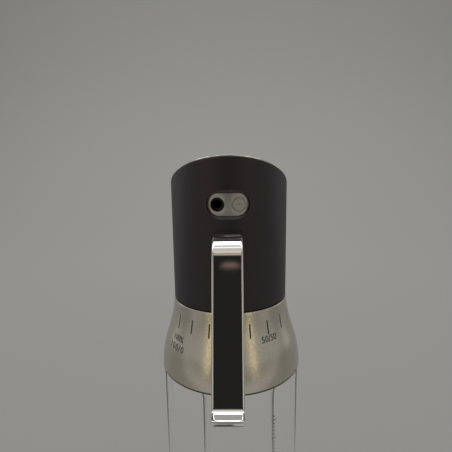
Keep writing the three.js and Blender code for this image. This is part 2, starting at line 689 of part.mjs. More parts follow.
function makeHandle() {
  const at = (reach, z) => new THREE.Vector2(reach, z);
  const centre = roundedPath([at(strapTabReach, tabLow), at(strapTabReach, strapRootZ),
    at(strapKneeReach, strapKneeZ), at(strapHeelReach, strapHeelZ),
    at(strapHeelReach + strapLipLength, strapHeelZ)], [tabRound, kneeRound, heelRound]);
  const sideOf = (sign) => centre.map((point, i) => {
    const a = centre[Math.max(i - 1, 0)];
    const b = centre[Math.min(i + 1, centre.length - 1)];
    const along = b.clone().sub(a).normalize();
    return point.clone()
      .add(new THREE.Vector2(-along.y, along.x).multiplyScalar((sign * strapThickness) / 2));
  });
  const outline = [...sideOf(1), ...sideOf(-1).reverse()];
  const inset = new THREE.ExtrudeGeometry(new THREE.Shape(outline), {
    depth: strapWidth - 2 * strapEdge, bevelEnabled: true, bevelThickness: strapEdge, bevelSize: strapEdge,
    bevelOffset: -strapEdge, bevelSegments: 1 });
  // The outline lies in (reach, height): turn it so that reach runs along -Y and the width along X
  inset.translate(0, 0, -(strapWidth - 2 * strapEdge) / 2);
  const turn = new THREE.Matrix4().makeBasis(new THREE.Vector3(0, -1, 0), new THREE.Vector3(0, 0, 1),
    new THREE.Vector3(-1, 0, 0));
  let body = solid(inset.applyMatrix4(turn));
  for (const z of handleScrewHeights) {
    body = body.subtract(boreBetween([0, -strapTabReach - 3, z], [0, -strapTabReach + 3, z],
      screwShaft + seatGap));
  }
  add('handle', body, brightSteel);
  handleScrewHeights.forEach((z, i) => {
    const length = strapThickness + seatGap + frameBlockDepth - 3;
    const piece = screw(0, 0, 0, length).rotate([90, 0, 0]);
    add(`handle_screw_${i + 1}`, piece.translate([0, -strapTabReach - strapThickness / 2 - 0.05, z]),
      brightSteel);
  });
}

makeBottle();
makeVessel();
makeStopper();
makeCollar();
makeHub();
makeCap();
makeFrame();
makeShell();
makeVents();
makeTop();
makeHandle();

export default group;
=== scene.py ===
# %% [markdown]
# The piece is a two-chamber oil and vinegar cruet. A clear bottle holds the vinegar, a clear tumbler
# inside it holds the oil, a flared satin steel dial sets the ratio and a matte black head pours. A bent
# strap of polished steel is the handle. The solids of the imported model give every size; the surfaces
# here are finer copies of them. Most of the object is turned, so most surfaces are a profile carried
# round the axis. That could be done with a Screw modifier, but a grid of numpy points gives the slanted
# top and the rounded edges from the same formula.

import json
import math

import bmesh
import bpy
import numpy as np
from mathutils import Matrix, Vector


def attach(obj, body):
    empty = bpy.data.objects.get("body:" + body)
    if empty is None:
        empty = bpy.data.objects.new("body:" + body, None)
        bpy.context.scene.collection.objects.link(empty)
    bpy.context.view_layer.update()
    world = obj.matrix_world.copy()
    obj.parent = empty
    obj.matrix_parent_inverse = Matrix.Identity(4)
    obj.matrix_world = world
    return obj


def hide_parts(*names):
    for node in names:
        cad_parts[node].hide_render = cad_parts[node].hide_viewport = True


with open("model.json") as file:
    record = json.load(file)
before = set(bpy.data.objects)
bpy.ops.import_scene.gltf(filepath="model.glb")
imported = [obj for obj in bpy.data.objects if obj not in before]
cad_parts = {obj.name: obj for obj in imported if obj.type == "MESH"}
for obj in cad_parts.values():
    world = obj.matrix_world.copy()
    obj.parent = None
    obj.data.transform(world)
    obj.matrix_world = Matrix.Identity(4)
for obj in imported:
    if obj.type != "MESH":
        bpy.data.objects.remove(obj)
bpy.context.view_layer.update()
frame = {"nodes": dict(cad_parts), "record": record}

# %% [markdown]
# All sizes are real ones, in millimetres, and are turned into metres when a mesh is made. The seam is
# the joint between the head and the dial: most heights are given from it, because it shows clearly from
# every side.

# %% Sizes
MM = 0.001
SEAM_Z = 148.0
COLLAR_BOTTOM = 110.0
HEAD_RADIUS = 30.1
HEAD_TOP_RADIUS = 30.05
HEAD_INNER = 26.4
HEAD_HEIGHT = 73.2
HEAD_GAP = 0.4
SLANT = math.tan(math.radians(26.5))
TURN_STEPS = 192
print("seam at", SEAM_Z, "mm, head", HEAD_HEIGHT, "mm high, slant", round(SLANT, 3))

# %% [markdown]
# A material's detail is a sum of simple functions of place, so the nodes are written as arithmetic. The
# class below stands for one socket of a material, and its operators add the Math node that does the
# same sum.


# %% Node arithmetic
class Wire:
    """One output socket, or a plain number, that can be added, scaled and compared in Python."""

    def __init__(self, tree, socket):
        self.tree = tree
        self.socket = socket

    def node(self, kind, inputs=(), output=0, **settings):
        """Adds any node, sets its settings, joins its inputs in order and returns its chosen output."""
        made = self.tree.nodes.new(kind)
        for key, value in settings.items():
            setattr(made, key, value)
        pairs = inputs.items() if isinstance(inputs, dict) else enumerate(inputs)
        for key, value in pairs:
            self.join(value, made.inputs[key])
        return Wire(self.tree, made.outputs[output])

    def join(self, value, target):
        """Joins a wire to a socket, or sets the socket to a plain value."""
        if isinstance(value, Wire):
            self.tree.links.new(value.socket, target)
        else:
            target.default_value = value

    def math(self, operation, *values):
        """One Math node."""
        return self.node("ShaderNodeMath", list(values), operation=operation)

    def __add__(self, other):
        return self.math("ADD", self, other)

    __radd__ = __add__

    def __sub__(self, other):
        return self.math("SUBTRACT", self, other)

    def __rsub__(self, other):
        return self.math("SUBTRACT", other, self)

    def __mul__(self, other):
        return self.math("MULTIPLY", self, other)

    __rmul__ = __mul__

    def __truediv__(self, other):
        return self.math("DIVIDE", self, other)

    def __rtruediv__(self, other):
        return self.math("DIVIDE", other, self)

    def step(self, low, high):
        """0 below low, 1 above high and a smooth S between them."""
        return self.node("ShaderNodeMapRange", {0: self, 1: low, 2: high, 3: 0.0, 4: 1.0},
                         interpolation_type="SMOOTHSTEP")

    def inside(self, low, high, soft):
        """1 between low and high, 0 outside, with soft edges."""
        return self.step(low - soft, low + soft) * (1.0 - self.step(high - soft, high + soft))


# %% [markdown]
# Every finish starts the same way: a Principled shader with plain values on its sockets, and the place
# of a point on the object, in millimetres. Generated coordinates would stretch with each piece's box.
# Object coordinates don't, and a pattern stays on its piece when a body moves.


# %% Material with its place
class Material:
    """A Principled material with its place coordinates ready as wires, in millimetres."""

    def __init__(self, name, color, roughness, metallic=0.0, **uniform):
        self.data = bpy.data.materials.new(name)
        self.data.use_nodes = True
        self.tree = self.data.node_tree
        self.shader = self.tree.nodes["Principled BSDF"]
        self.shader.inputs["Base Color"].default_value = (*color, 1.0)
        self.shader.inputs["Roughness"].default_value = roughness
        self.shader.inputs["Metallic"].default_value = metallic
        for key, value in uniform.items():
            self.shader.inputs[key.replace("_", " ")].default_value = value
        self.wire = Wire(self.tree, None)
        place = self.wire.node("ShaderNodeTexCoord", output="Object")
        self.place = self.wire.node("ShaderNodeVectorMath", {0: place, "Scale": 1000.0}, operation="SCALE")
        split = self.tree.nodes.new("ShaderNodeSeparateXYZ")
        self.tree.links.new(self.place.socket, split.inputs[0])
        self.x, self.y, self.z = (Wire(self.tree, split.outputs[i]) for i in range(3))

    def noise(self, scale, detail=2.0, stretch=(1.0, 1.0, 1.0)):
        """Noise of about one spot per 1/scale millimetres, from 0 to 1."""
        place = self.wire.node("ShaderNodeVectorMath", [self.place, stretch], operation="MULTIPLY")
        return self.wire.node("ShaderNodeTexNoise", {"Vector": place, "Scale": scale, "Detail": detail})

    def turn(self):
        """The angle round the axis, in degrees, from -180 to 180."""
        return self.wire.math("ARCTAN2", self.y, self.x) * (180.0 / math.pi)

    def mix(self, factor, first, second):
        """A colour between two others."""
        return self.wire.node("ShaderNodeMix", {0: factor, 6: first, 7: second}, output=2, data_type="RGBA")

    def color(self, value):
        self.wire.join(value, self.shader.inputs["Base Color"])

    def rough(self, value):
        self.wire.join(value, self.shader.inputs["Roughness"])

    def bump(self, height, depth, strength=1.0):
        """Turns a height from 0 to 1 into a bump of that depth in millimetres."""
        inputs = {"Height": height, "Distance": depth * MM, "Strength": strength}
        normal = self.wire.node("ShaderNodeBump", inputs)
        self.wire.join(normal, self.shader.inputs["Normal"])


# %% [markdown]
# The dial has eleven ticks, eighteen degrees apart, so half a turn goes from the first to the last.
# They are engraved and filled with black on the real dial. They could be cut into the mesh, but a tick
# is a plain function of angle and height, so the dial's material draws it as a colour and a shallow
# bump.

# %% Ticks of the dial
TICK_STEP = 18.0
TICK_FIRST = -144.0
TICK_COUNT = 11
TICK_TOP = 5.6
TICK_LENGTH = 6.8
TICK_WIDTH = 0.75
print("ticks", TICK_COUNT, "from", TICK_FIRST, "to", TICK_FIRST + TICK_STEP * (TICK_COUNT - 1), "degrees")

# %% [markdown]
# Each finish is read from the photograph. The head is a fine matte moulded plastic with a faint warm
# tint, the dial is bead-blasted steel, the strap and the top are polished, and the plate round the
# vents is satin steel. A finish could be one colour and one roughness. Here a little noise drifts
# through both and a fine grain goes into the bump, because no real surface is even, and that is what
# the eye takes for a material.


# %% Black moulding
def matte_black():
    """Black moulding: a grain about 0.25 mm across in bump and roughness, and a slow drift in colour."""
    made = Material("matte_black", (0.0078, 0.0068, 0.0078), 0.5, Specular_Tint=(1.0, 0.92, 0.98, 1.0))
    grain = made.noise(4.0, 3.0)
    drift = made.noise(0.05, 1.0)
    made.color(made.mix(drift, (0.0062, 0.0053, 0.0062, 1), (0.0086, 0.0074, 0.0086, 1)))
    made.rough(0.42 + 0.14 * grain)
    made.bump(grain, 0.02)
    return made.data


# %% [markdown]
# The dial is steel blasted with fine beads, so it mirrors the room as soft stripes. An anisotropic
# shader could draw brushed lines, but the photograph shows none, and a medium roughness with a fine
# grain is enough. The ticks and a painted shadow along the bottom edge, where the dial meets the
# bottle, are masks in the same material, because they are on the same skin.


# %% Steel of the dial
def dial_steel():
    """Blasted steel with a row of black ticks and a painted shadow along its bottom edge.

    A tick is where the angle is near a whole step and the height is in range. The distance from the middle of
    the tick is that angle times the radius, so its width is the same all the way down the flared dial.
    """
    made = Material("dial_steel", (0.55, 0.52, 0.45), 0.36, 1.0)
    fine = made.noise(6.0, 2.0)
    cloud = made.noise(0.12, 3.0, (1.0, 1.0, 0.35))
    turn = made.turn()
    steps = (turn - TICK_FIRST) / TICK_STEP
    nearest = made.wire.math("ROUND", steps)
    radius = made.wire.math("SQRT", made.x * made.x + made.y * made.y)
    offset = made.wire.math("ABSOLUTE", steps - nearest) * radius * (TICK_STEP * math.pi / 180.0)
    across = 1.0 - offset.step(TICK_WIDTH / 2 - 0.06, TICK_WIDTH / 2 + 0.06)
    along = made.z.inside(SEAM_Z - TICK_TOP - TICK_LENGTH, SEAM_Z - TICK_TOP, 0.06)
    counted = nearest.inside(-0.5, TICK_COUNT - 0.5, 0.05)
    tick = across * along * counted
    steel = made.mix(cloud, (0.54, 0.51, 0.44, 1), (0.57, 0.54, 0.465, 1))
    # Painted shade: the lowest 0.8 mm of the dial is coloured near black and made dull, for the shadow in the
    # gap above the bottle.
    rim = 1.0 - made.z.step(COLLAR_BOTTOM + 0.8, COLLAR_BOTTOM + 1.0)
    tick_ink_and_painted_shade = made.wire.math("MAXIMUM", tick, rim)
    made.color(made.mix(tick_ink_and_painted_shade, steel, (0.012, 0.011, 0.011, 1)))
    made.wire.join(1.0 - tick_ink_and_painted_shade * 0.95, made.shader.inputs["Metallic"])
    made.rough(0.23 + 0.06 * fine + 0.015 * cloud)
    made.bump(fine * 0.12 - tick, 0.1)
    return made.data


# %% [markdown]
# The strap and the top are polished until they mirror the lamps. The plate round the vents is duller,
# with a grain along its length. Both could share one material with a mask, but they are separate
# pieces, so each has its own colour, roughness and depth of lines.


# %% Polished and satin steel
def polished_steel():
    """Polished steel: nearly a mirror, with long faint polishing lines."""
    made = Material("polished_steel", (0.64, 0.63, 0.61), 0.1, 1.0)
    lines = made.noise(1.4, 3.0, (6.0, 0.25, 0.25))
    made.rough(0.03 + 0.05 * lines)
    made.bump(lines, 0.001)
    return made.data


def satin_steel():
    """Satin steel of the vent plate, with a fine grain along its length."""
    made = Material("satin_steel", (0.38, 0.37, 0.36), 0.42, 1.0)
    grain = made.noise(3.0, 3.0, (0.15, 1.0, 4.0))
    made.color(made.mix(grain, (0.36, 0.35, 0.34, 1), (0.46, 0.45, 0.44, 1)))
    made.rough(0.36 + 0.14 * grain)
    made.bump(grain, 0.006)
    return made.data


# %% [markdown]
# The glass is clear and nearly colourless. Its transparency could be an alpha value, but only a
# refracting shader draws the fine lines at the edges of the walls.


# %% Clear glass
def clear_glass():
    """Clear glass, in which all the detail is a faint haze.

    The refractive index is lower than real glass has, because the photograph's hardly bends the view.
    """
    made = Material("clear_glass", (0.999, 0.999, 0.996), 0.0, 0.0, Transmission_Weight=1.0, IOR=1.08)
    made.rough(0.004 * made.noise(0.06, 1.0))
    return made.data


# %% [markdown]
# The silicone valve, the seals, the inner mouldings, the tubes, the marks and the ink are plain
# materials with a soft grain. One function makes them all from a colour and a roughness.


# %% Plain mouldings and the list of finishes
def plastic(name, color, roughness):
    """Plain moulding: a soft grain in colour, roughness and bump."""
    made = Material(name, color, roughness)
    grain = made.noise(2.5, 2.0)
    darker = tuple(0.88 * value for value in color)
    made.color(made.mix(grain, (*darker, 1), (*color, 1)))
    made.rough(roughness - 0.05 + 0.1 * grain)
    made.bump(grain, 0.012)
    return made.data


FINISH = {
    "matte_black": matte_black(),
    "dial_steel": dial_steel(),
    "polished_steel": polished_steel(),
    "satin_steel": satin_steel(),
    "clear_glass": clear_glass(),
    "silicone": plastic("silicone", (0.38, 0.37, 0.33), 0.55),
    "white_plastic": plastic("white_plastic", (0.62, 0.61, 0.58), 0.45),
    "clear_tube": plastic("clear_tube", (0.75, 0.77, 0.76), 0.25),
    "mark": plastic("mark", (0.12, 0.12, 0.115), 0.5),
    "ink": plastic("ink", (0.012, 0.011, 0.011), 0.5),
}
print("finishes", sorted(FINISH))

# %% [markdown]
# A surface is a grid of points: rows go along the profile, columns go round. One function turns any
# such grid into a mesh. Rows can close into a ring, and a row that has shrunk to the axis is merged
# into one point. The same shapes could be drawn by hand in edit mode, but a grid from a formula follows
# the sizes when they change.


# %% Grids into meshes
def grid_mesh(name, points, close_rows, finish):
    """Points of shape (rows, columns, 3) in millimetres. Columns always close; rows close if asked."""
    rows, columns = points.shape[:2]
    index = np.arange(rows * columns).reshape(rows, columns)
    if close_rows:
        index = np.vstack([index, index[:1]])
    right = np.roll(index, -1, axis=1)
    faces = np.stack([index[:-1], right[:-1], right[1:], index[1:]], axis=-1).reshape(-1, 4)
    return mesh_object(name, points.reshape(-1, 3), faces, finish)


def mesh_object(name, points, faces, finish):
    """A smooth-shaded object from points in millimetres and lists of corners, with twin points merged."""
    mesh = bpy.data.meshes.new(name)
    mesh.from_pydata((np.asarray(points) * MM).tolist(), [], np.asarray(faces).tolist())
    work = bmesh.new()
    work.from_mesh(mesh)
    bmesh.ops.remove_doubles(work, verts=work.verts, dist=1e-7)
    bmesh.ops.dissolve_degenerate(work, edges=work.edges, dist=1e-8)
    bmesh.ops.recalc_face_normals(work, faces=work.faces)
    work.to_mesh(mesh)
    work.free()
    item = bpy.data.objects.new(name, mesh)
    bpy.context.scene.collection.objects.link(item)
    mesh.materials.append(FINISH[finish])
    shade(item)
    return item


def shade(item, degrees=32):
    """Smooth shading with creases where faces meet at more than the angle."""
    item.data.polygons.foreach_set("use_smooth", np.ones(len(item.data.polygons), dtype=bool))
    item.data.set_sharp_from_angle(angle=math.radians(degrees))


# %% [markdown]
# Real edges are never sharp, and a rounded edge is what catches the light. Blender's Bevel modifier can
# round them, but on a turned profile it is simpler to round the flat outline first and carry it round
# after.


# %% Outlines and turned bodies
def rounded(corners, radii, steps=6, closed=True):
    """A path through corners with each one turned into an arc that touches both its sides.

    The arc's centre lies on the line that halves the corner, at the radius over the sine of half its angle.
    """
    count = len(corners)
    path = []
    for i, corner in enumerate(corners):
        radius = radii[i] if hasattr(radii, "__len__") else radii
        ends = not closed and i in (0, count - 1)
        here = np.array(corner, float)
        back = np.array(corners[i - 1], float) - here
        on = np.array(corners[(i + 1) % count], float) - here
        if ends or radius <= 0:
            path.append(here)
            continue
        back_unit = back / np.linalg.norm(back)
        on_unit = on / np.linalg.norm(on)
        half = math.acos(np.clip(back_unit @ on_unit, -1, 1)) / 2
        reach = min(radius / math.tan(half), 0.49 * min(np.linalg.norm(back), np.linalg.norm(on)))
        radius = reach * math.tan(half)
        middle = back_unit + on_unit
        centre = here + middle / np.linalg.norm(middle) * radius / math.sin(half)
        start = here + back_unit * reach - centre
        finish = here + on_unit * reach - centre
        sweep = math.atan2(start[0] * finish[1] - start[1] * finish[0], start @ finish)
        turn = sweep * np.arange(steps + 1) / steps
        across = np.cos(turn) * start[0] - np.sin(turn) * start[1]
        upward = np.sin(turn) * start[0] + np.cos(turn) * start[1]
        path.extend(centre + np.stack([across, upward], axis=-1))
    return np.array(path)


def turned(name, profile, finish, steps=TURN_STEPS, offset=0.0, closed=True):
    """A profile of (radius, height) carried round the vertical axis, which may be set off along X."""
    angle = np.linspace(0, 2 * np.pi, steps, endpoint=False)
    radius = np.maximum(profile[:, 0], 0)[:, None]
    height = np.repeat(profile[:, 1][:, None], steps, axis=1)
    points = np.stack([radius * np.cos(angle) + offset, radius * np.sin(angle), height], axis=-1)
    return grid_mesh(name, points, closed, finish)


# %% [markdown]
# Holes and slots are cut with the Boolean modifier, and edges that come out sharp are rounded with the
# Bevel modifier. Both are applied at once, so that each finished piece is a plain mesh.


# %% Cutting and placing
def boolean(target, cutter, operation="DIFFERENCE"):
    """Cuts target with cutter, keeps the result as target's own mesh and removes the cutter."""
    change = target.modifiers.new("cut", "BOOLEAN")
    change.object = cutter
    change.operation = operation
    change.solver = "EXACT"
    keep_modified(target)
    bpy.data.objects.remove(cutter, do_unlink=True)
    shade(target)


def keep_modified(target):
    """Applies the modifiers of target."""
    graph = bpy.context.evaluated_depsgraph_get()
    mesh = bpy.data.meshes.new_from_object(target.evaluated_get(graph))
    target.modifiers.clear()
    target.data = mesh


def soften(target, width, degrees=40, segments=2):
    """Rounds every edge sharper than the angle by the width in millimetres."""
    change = target.modifiers.new("edge", "BEVEL")
    change.width = width * MM
    change.segments = segments
    change.limit_method = "ANGLE"
    change.angle_limit = math.radians(degrees)
    change.use_clamp_overlap = True
    keep_modified(target)
    shade(target)


def place(item, body, *nodes, slot=None):
    """The piece moves with a body and stands for some solids. The slot is not used."""
    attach(item, body)
    if nodes:
        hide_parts(*nodes)
    print(item.name, len(item.data.polygons), "faces")


# %% [markdown]
# The vents, the spout and their openings are pills: two half circles joined by straight sides. A stack
# of such outlines with a flat face at each end makes a solid. A mesh circle scaled to size would give
# oval ends instead.


# %% Pills and round bodies
def pill(length, height, steps=24):
    """Outline of a pill: two half circles joined by straight sides."""
    radius = height / 2
    half = length / 2 - radius
    turn = np.linspace(-np.pi / 2, np.pi / 2, steps)
    right = np.stack([half + radius * np.cos(turn), radius * np.sin(turn)], axis=-1)
    return np.vstack([right, -right])


def capped(name, rings, finish):
    """A closed body from a stack of outlines, shape (rings, points, 3), with a flat face at each end."""
    count = rings.shape[1]
    levels = rings.shape[0]
    index = np.arange(levels * count).reshape(levels, count)
    right = np.roll(index, -1, axis=1)
    sides = np.stack([index[:-1], right[:-1], right[1:], index[1:]], axis=-1).reshape(-1, 4).tolist()
    faces = sides + [index[0][::-1].tolist(), index[-1].tolist()]
    mesh = bpy.data.meshes.new(name)
    mesh.from_pydata((rings.reshape(-1, 3) * MM).tolist(), [], faces)
    work = bmesh.new()
    work.from_mesh(mesh)
    bmesh.ops.recalc_face_normals(work, faces=work.faces)
    work.to_mesh(mesh)
    work.free()
    item = bpy.data.objects.new(name, mesh)
    bpy.context.scene.collection.objects.link(item)
    mesh.materials.append(FINISH[finish])
    shade(item)
    return item


def pill_body(name, levels, z):
    """A pill facing -Y at height z; levels are (length, height, distance from the axis)."""
    rings = []
    for length, height, reach in levels:
        outline = pill(length, height)
        rings.append(np.stack([outline[:, 0], np.full(len(outline), -reach), z + outline[:, 1]], axis=-1))
    return capped(name, np.array(rings), "matte_black")


def round_body(name, x, z, levels, finish="matte_black", steps=64):
    """A round body facing -Y at (x, z); levels are (radius, distance from the axis)."""
    turn = np.linspace(0, 2 * np.pi, steps, endpoint=False)
    rings = []
    for radius, reach in levels:
        depth = np.full(steps, -reach)
        rings.append(np.stack([x + radius * np.cos(turn), depth, z + radius * np.sin(turn)], axis=-1))
    return capped(name, np.array(rings), finish)


# %% [markdown]
# The bottle and the tumbler inside it are turned glass. Thick glass shows bright and dark lines at its
# edges because the wall bends the view. One surface with a thin-glass shader would lose those lines, so
# both sides of each wall are modelled, with rounded corners inside and out. The tumbler stands a little
# off the axis.

# %% Bottle and inner vessel
BOTTLE_RADIUS = 37.0
BOTTLE_INNER = 34.0
BOTTLE_FLOOR = 6.0
SHOULDER_Z = 109.6
MOUTH_Z = 118.6
NECK_RADIUS = 33.0
NECK_INNER = 30.3
VESSEL_RADIUS = 20.5
VESSEL_INNER = 18.5
VESSEL_OFFSET = 4.0
VESSEL_BOTTOM = 9.0
VESSEL_FLOOR = 2.0
VESSEL_TOP = 115.6

bottle_corners = [(0, 0), (BOTTLE_RADIUS, 0), (BOTTLE_RADIUS, SHOULDER_Z), (NECK_RADIUS, SHOULDER_Z),
                  (NECK_RADIUS, MOUTH_Z), (NECK_INNER, MOUTH_Z), (NECK_INNER, SHOULDER_Z - 0.4),
                  (BOTTLE_INNER, SHOULDER_Z - 3), (BOTTLE_INNER, BOTTLE_FLOOR), (0, BOTTLE_FLOOR)]
bottle_rounds = [0, 3.0, 0.7, 0.3, 0.6, 0.6, 1.5, 1.5, 3.0, 0]
bottle_outline = rounded(bottle_corners, bottle_rounds, 8, False)
bottle = turned("bottle_glass", bottle_outline, "clear_glass", closed=False)
place(bottle, "vessel", "bottle", slot="glass")

vessel_corners = [(0, VESSEL_BOTTOM), (VESSEL_RADIUS, VESSEL_BOTTOM), (VESSEL_RADIUS, VESSEL_TOP),
                  (VESSEL_INNER, VESSEL_TOP), (VESSEL_INNER, VESSEL_BOTTOM + VESSEL_FLOOR),
                  (0, VESSEL_BOTTOM + VESSEL_FLOOR)]
vessel_rounds = [0, 3.0, 0.6, 0.6, 2.0, 0]
vessel_outline = rounded(vessel_corners, vessel_rounds, 8, False)
vessel = turned("vessel_glass", vessel_outline, "clear_glass", 128, VESSEL_OFFSET, closed=False)
place(vessel, "head", "inner_vessel", slot="glass")

# %% [markdown]
# The dial's skin is a thin spun bell. Its outer curve is a smooth spline through the measured radii,
# and the inside follows it one skin thickness further in. Straight lines between the radii would show
# as bands in the steel's reflections, and a spline keeps slope and curvature even.


# %% Curve of the dial
COLLAR_PROFILE = [(0, 30.3), (6, 31.0), (13, 32.5), (18, 34.0),
                  (23, 35.6), (28, 36.8), (33, 37.6), (38, 37.85)]
COLLAR_SKIN = 1.0
COLLAR_LIP = 27.0
COLLAR_EDGE = 0.35


def smooth_profile(knots, count):
    """Natural cubic spline of radius against depth.

    The second derivatives at the knots are solved for first. Between two knots the radius is then the
    straight line between them plus a cubic share of each of their second derivatives.
    """
    depth = np.array([k[0] for k in knots], float)
    radius = np.array([k[1] for k in knots], float)
    gap = np.diff(depth)
    size = len(knots)
    system = np.eye(size)
    right = np.zeros(size)
    for i in range(1, size - 1):
        system[i, i - 1:i + 2] = gap[i - 1], 2 * (gap[i - 1] + gap[i]), gap[i]
        right[i] = 6 * ((radius[i + 1] - radius[i]) / gap[i] - (radius[i] - radius[i - 1]) / gap[i - 1])
    bend = np.linalg.solve(system, right)
    at = np.linspace(depth[0], depth[-1], count)
    i = np.clip(np.searchsorted(depth, at) - 1, 0, size - 2)
    a = (depth[i + 1] - at) / gap[i]
    b = (at - depth[i]) / gap[i]
    curve = a * radius[i] + b * radius[i + 1]
    curve += ((a ** 3 - a) * bend[i] + (b ** 3 - b) * bend[i + 1]) * gap[i] ** 2 / 6
    return at, curve


depths, radii = smooth_profile(COLLAR_PROFILE, 48)
print("dial radii from", radii[0], "to", radii[-1], "mm")

# %% Dial collar
outer = np.stack([radii, SEAM_Z - depths], axis=-1)
top_edge = [[radii[0] - COLLAR_EDGE, SEAM_Z], [radii[0] - 0.1, SEAM_Z - 0.1],
            [radii[0], SEAM_Z - COLLAR_EDGE]]
low_edge = [[radii[-1], COLLAR_BOTTOM + COLLAR_EDGE], [radii[-1] - 0.1, COLLAR_BOTTOM + 0.1],
            [radii[-1] - COLLAR_EDGE, COLLAR_BOTTOM]]
outer = np.vstack([top_edge, outer[1:-1], low_edge])
inner = np.stack([radii - COLLAR_SKIN, SEAM_Z - depths], axis=-1)[2:-1][::-1]
lip = np.array([[radii[0] - COLLAR_SKIN, SEAM_Z - COLLAR_SKIN], [COLLAR_LIP, SEAM_Z - COLLAR_SKIN],
                [COLLAR_LIP, SEAM_Z]])
bottom_in = np.array([[radii[-1] - COLLAR_SKIN, COLLAR_BOTTOM]])
collar = turned("dial_skin", np.vstack([outer, bottom_in, inner, lip]), "dial_steel")
place(collar, "dial", "dial_collar", slot="satin_steel")


def collar_radius(depth):
    """Outer radius of the dial at a depth below the seam."""
    return np.interp(depth, depths, radii)


# %% [markdown]
# The numbers on the dial are printed. They could be an image on the surface, but text as a mesh stays
# sharp from close by. Flat text is bent round the bell: a letter's width becomes an angle and its
# height a depth below the seam. The letters stand a few hundredths of a millimetre proud, as ink does.


# %% Numbers on the dial
INK_PROUD = 0.04
INK_SUNK = 0.05
LETTER_WEIGHT = 0.008


def dial_text(name, words, degrees, depth, height, spread=1.0):
    """Text centred at an angle and a depth below the seam, with figures of the height in millimetres.

    The angle of a point is its distance along the line over the radius of the dial at the text's depth.
    """
    curve = bpy.data.curves.new(name, "FONT")
    curve.body = words
    curve.align_x = "CENTER"
    curve.align_y = "CENTER"
    curve.size = 1.0
    curve.resolution_u = 6
    curve.offset = LETTER_WEIGHT
    curve.space_character = spread
    item = bpy.data.objects.new(name, curve)
    bpy.context.scene.collection.objects.link(item)
    graph = bpy.context.evaluated_depsgraph_get()
    mesh = bpy.data.meshes.new_from_object(item.evaluated_get(graph))
    bpy.data.objects.remove(item, do_unlink=True)
    work = bmesh.new()
    work.from_mesh(mesh)
    bmesh.ops.remove_doubles(work, verts=work.verts, dist=1e-5)
    sheet = bmesh.ops.extrude_face_region(work, geom=work.faces[:])
    raised = [part for part in sheet["geom"] if isinstance(part, bmesh.types.BMVert)]
    bmesh.ops.translate(work, verts=raised, vec=(0.0, 0.0, 1.0))
    bmesh.ops.recalc_face_normals(work, faces=work.faces)
    work.to_mesh(mesh)
    work.free()
    flat = np.empty(len(mesh.vertices) * 3)
    mesh.vertices.foreach_get("co", flat)
    flat = flat.reshape(-1, 3)
    middle = (flat[:, 1].max() + flat[:, 1].min()) / 2
    size = height / (flat[:, 1].max() - flat[:, 1].min())
    below = depth - (flat[:, 1] - middle) * size
    radius = collar_radius(below) + np.where(flat[:, 2] > 0.5, INK_PROUD, -INK_SUNK)
    angle = np.radians(degrees) + flat[:, 0] * size / collar_radius(depth)
    bent = np.stack([radius * np.cos(angle), radius * np.sin(angle), SEAM_Z - below], axis=-1) * MM
    mesh.vertices.foreach_set("co", bent.ravel())
    mesh.materials.append(FINISH["ink"])
    made = bpy.data.objects.new(name, mesh)
    bpy.context.scene.collection.objects.link(made)
    place(made, "dial", slot="black_plastic")


dial_text("number_even", "50/50", TICK_FIRST + 90, 14.2, 3.0)
dial_text("number_first_top", "100%", TICK_FIRST + 3, 16.5, 2.9)
dial_text("number_first_low", "100/0", TICK_FIRST + 3, 20.9, 3.1, 1.25)
dial_text("number_last_top", "100%", TICK_FIRST + 180, 16.4, 2.9)
dial_text("number_last_low", "0/100", TICK_FIRST + 180, 20.9, 3.1, 1.25)

# %% [markdown]
# The photograph shows a fine upright row of marks low on the right of the bottle. They are made as
# plain ticks with no numbers: small curved plates on the glass, every fifth one longer. A mask in the
# glass's material could draw them too, but ink on glass hides what is behind it, and a small solid
# plate does that without a new shader.


# %% Marks on the bottle
MARK_TURN = 35.6
MARK_LOW = 22.0
MARK_HIGH = 95.0
MARK_STEP = 2.0
MARK_SHORT = 1.4
MARK_LONG = 2.6
MARK_LINE = 0.44
MARK_SKIN = 0.05


def bottle_marks():
    """Ticks round the bottle's axis on the right of the handle, every fifth one longer.

    A tick is a curved plate of six corners inside the glass's surface and six outside it. Its half length
    over the bottle's radius is half the angle that it covers.
    """
    heights = np.arange(MARK_LOW, MARK_HIGH, MARK_STEP)
    count = len(heights)
    long = np.arange(count) % 5 == 0
    half = np.degrees(np.where(long, MARK_LONG, MARK_SHORT) / 2 / BOTTLE_RADIUS)
    along = np.array([-1.0, 0.0, 1.0, 1.0, 0.0, -1.0])
    upward = np.array([-1.0, -1.0, -1.0, 1.0, 1.0, 1.0]) * MARK_LINE / 2
    angle = np.radians(-90.0 + MARK_TURN + half[:, None, None] * along)
    radius = (BOTTLE_RADIUS + np.array([-MARK_SKIN, MARK_SKIN]))[None, :, None]
    height = heights[:, None, None] + upward
    points = np.stack(np.broadcast_arrays(radius * np.cos(angle), radius * np.sin(angle), height), axis=-1)
    edge = np.arange(6)
    after = (edge + 1) % 6
    flats = [[0, 1, 4, 5], [1, 2, 3, 4], [11, 10, 7, 6], [10, 9, 8, 7]]
    plate = np.vstack([flats, np.stack([after, edge, edge + 6, after + 6], axis=-1)])
    faces = plate + 12 * np.arange(count)[:, None, None]
    return mesh_object("bottle_marks", points.reshape(-1, 3), faces.reshape(-1, 4), "mark")


place(bottle_marks(), "vessel", slot="white_plastic")

# %% [markdown]
# The head is a straight tube cut at a slant. A cylinder cut by a plane would leave a sharp edge that is
# hard to round. Here the rows of points are spread between the level bottom and the slanted top, so the
# rounded top edge follows the cut exactly.


# %% Head shell
HEAD_EDGE = 0.35


def slant_height(y):
    """Height of the head's slanted plane over a point at depth y. It falls evenly from front to back."""
    return SEAM_Z + HEAD_HEIGHT - (y + HEAD_TOP_RADIUS) * SLANT


